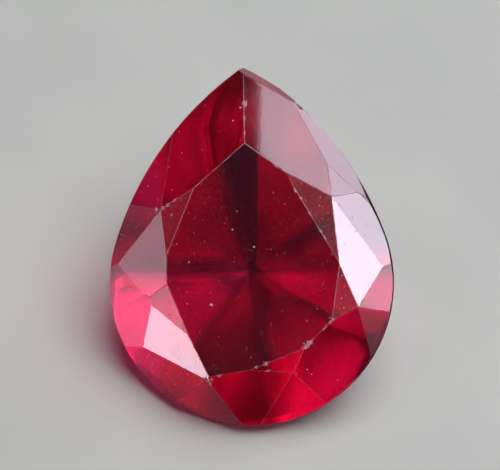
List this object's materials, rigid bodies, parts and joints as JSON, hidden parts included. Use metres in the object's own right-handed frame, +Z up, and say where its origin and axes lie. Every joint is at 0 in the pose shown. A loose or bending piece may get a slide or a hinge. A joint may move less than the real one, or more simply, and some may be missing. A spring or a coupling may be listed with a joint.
{
  "type": "faceted red beryl gemstone",
  "caption": "Loose pear-cut red beryl, 10 x 8 mm: transparent, deep raspberry red, brilliant cut, leaning on a pavilion facet with its table turned up to the viewer",
  "frame": {"origin": "on the surface that the stone lies on, in the middle of the stone's footprint box", "axes": "+Z up, out of the surface; +Y the way the stone's raised tip leans, so its long axis lies in the YZ plane; -Y and up is the table's side; +X to the right of someone who faces +Y"},
  "size_m": [0.0078, 0.0082, 0.0066],
  "materials": {
    "pear_cut_stone": "polished, transparent red crystal"
  },
  "bodies": {
    "root": {"pear_cut_stone": "pear_cut_stone"}
  },
  "joints": []
}
